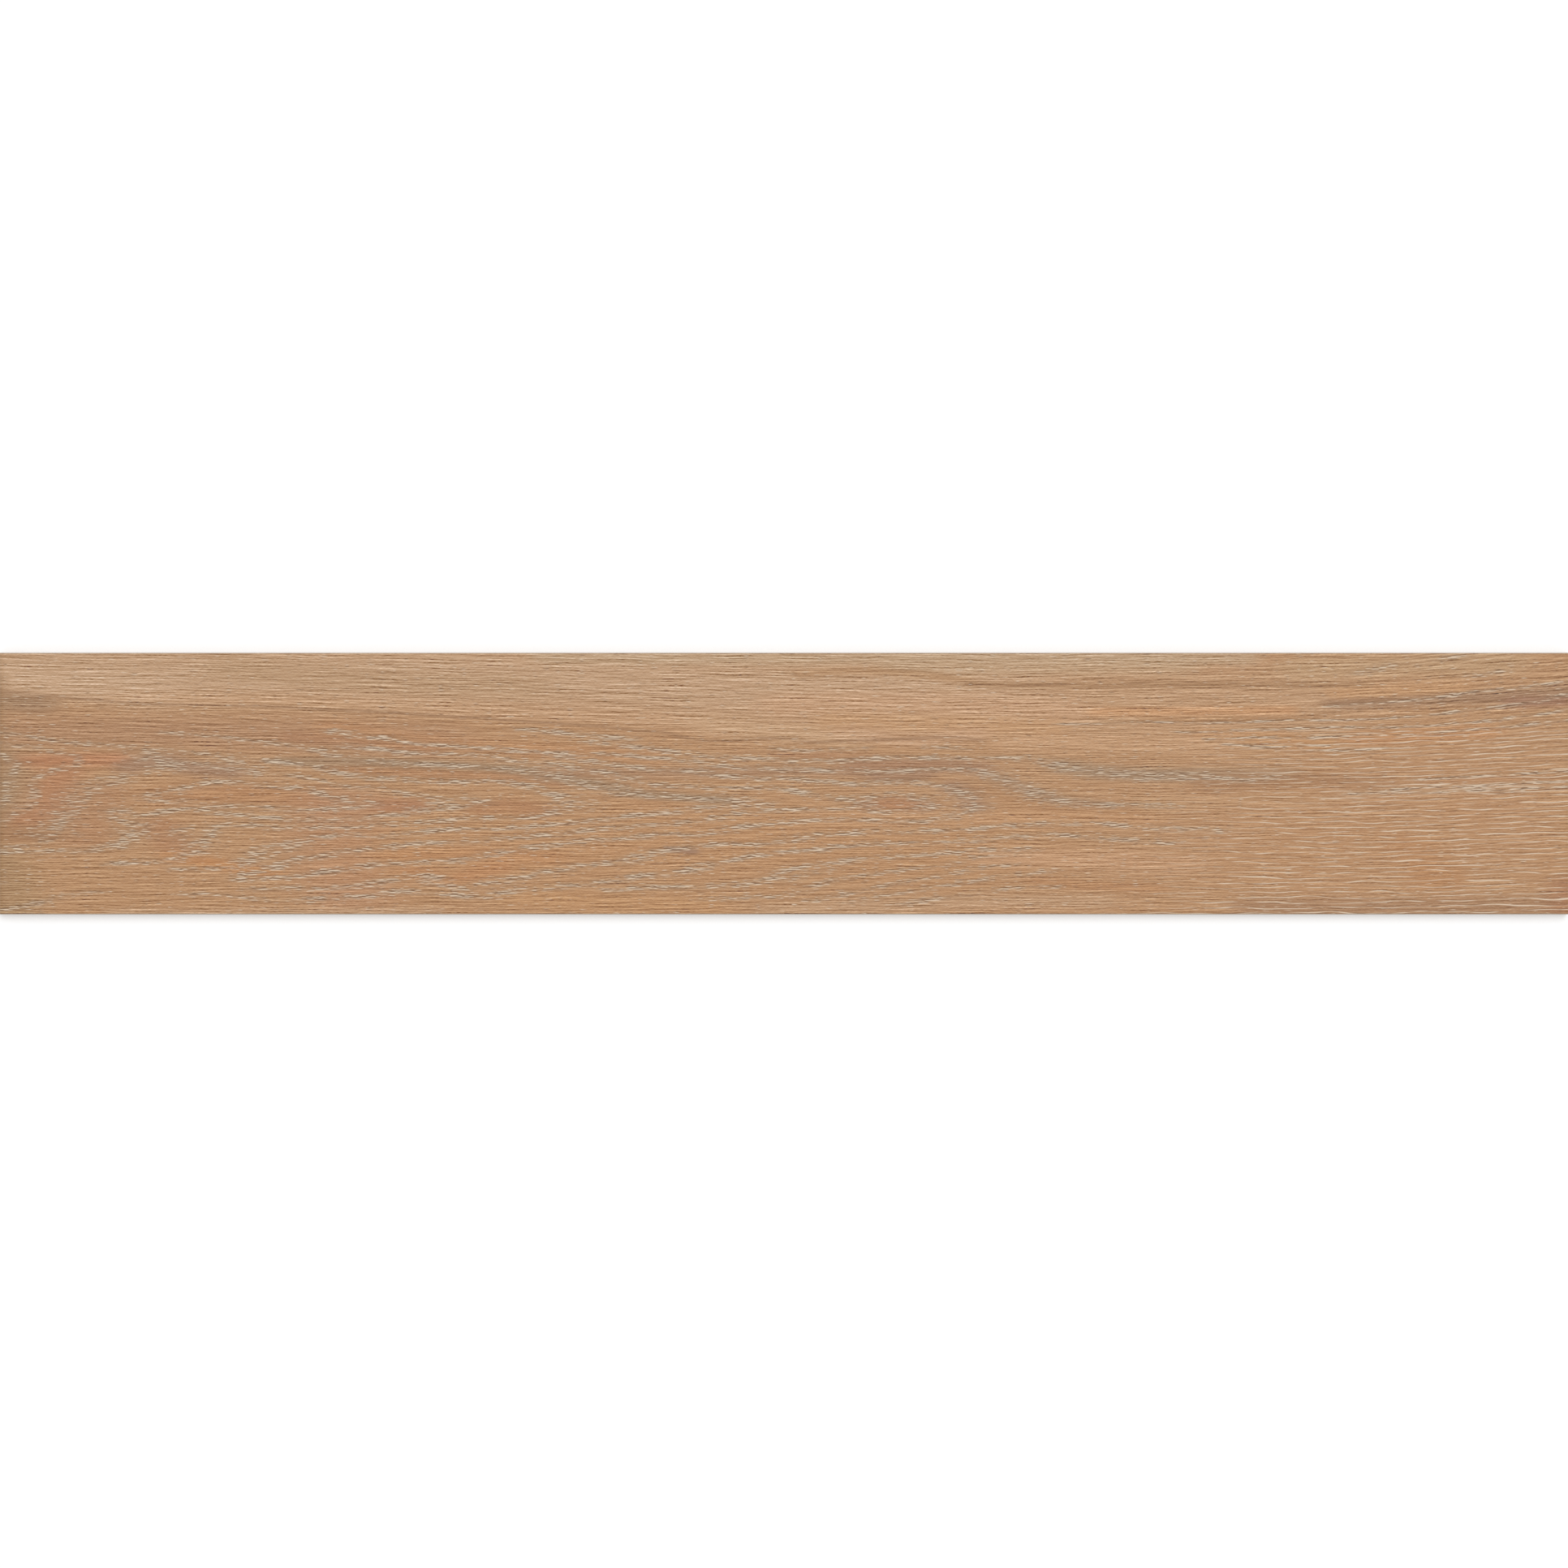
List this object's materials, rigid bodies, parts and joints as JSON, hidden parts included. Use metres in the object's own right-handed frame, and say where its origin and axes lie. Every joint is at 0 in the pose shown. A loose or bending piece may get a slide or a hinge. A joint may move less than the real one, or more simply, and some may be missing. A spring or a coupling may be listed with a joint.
{
  "type": "wood look porcelain plank tile",
  "caption": "Flat rectangular porcelain plank tile with a printed oak-grain face, ground square edges with eased arrises and a ribbed keying back, for paving floors and facing walls.",
  "frame": {"origin": "middle of the plane that the crests of the back ribs rest on", "axes": "+X along the plank's length and its grain, +Y across its width, +Z out of the printed face"},
  "size_m": [1.2, 0.2, 0.0095],
  "materials": {
    "wood_print_porcelain": "matte"
  },
  "bodies": {
    "root": {"plank_tile": "wood_print_porcelain"}
  },
  "joints": []
}
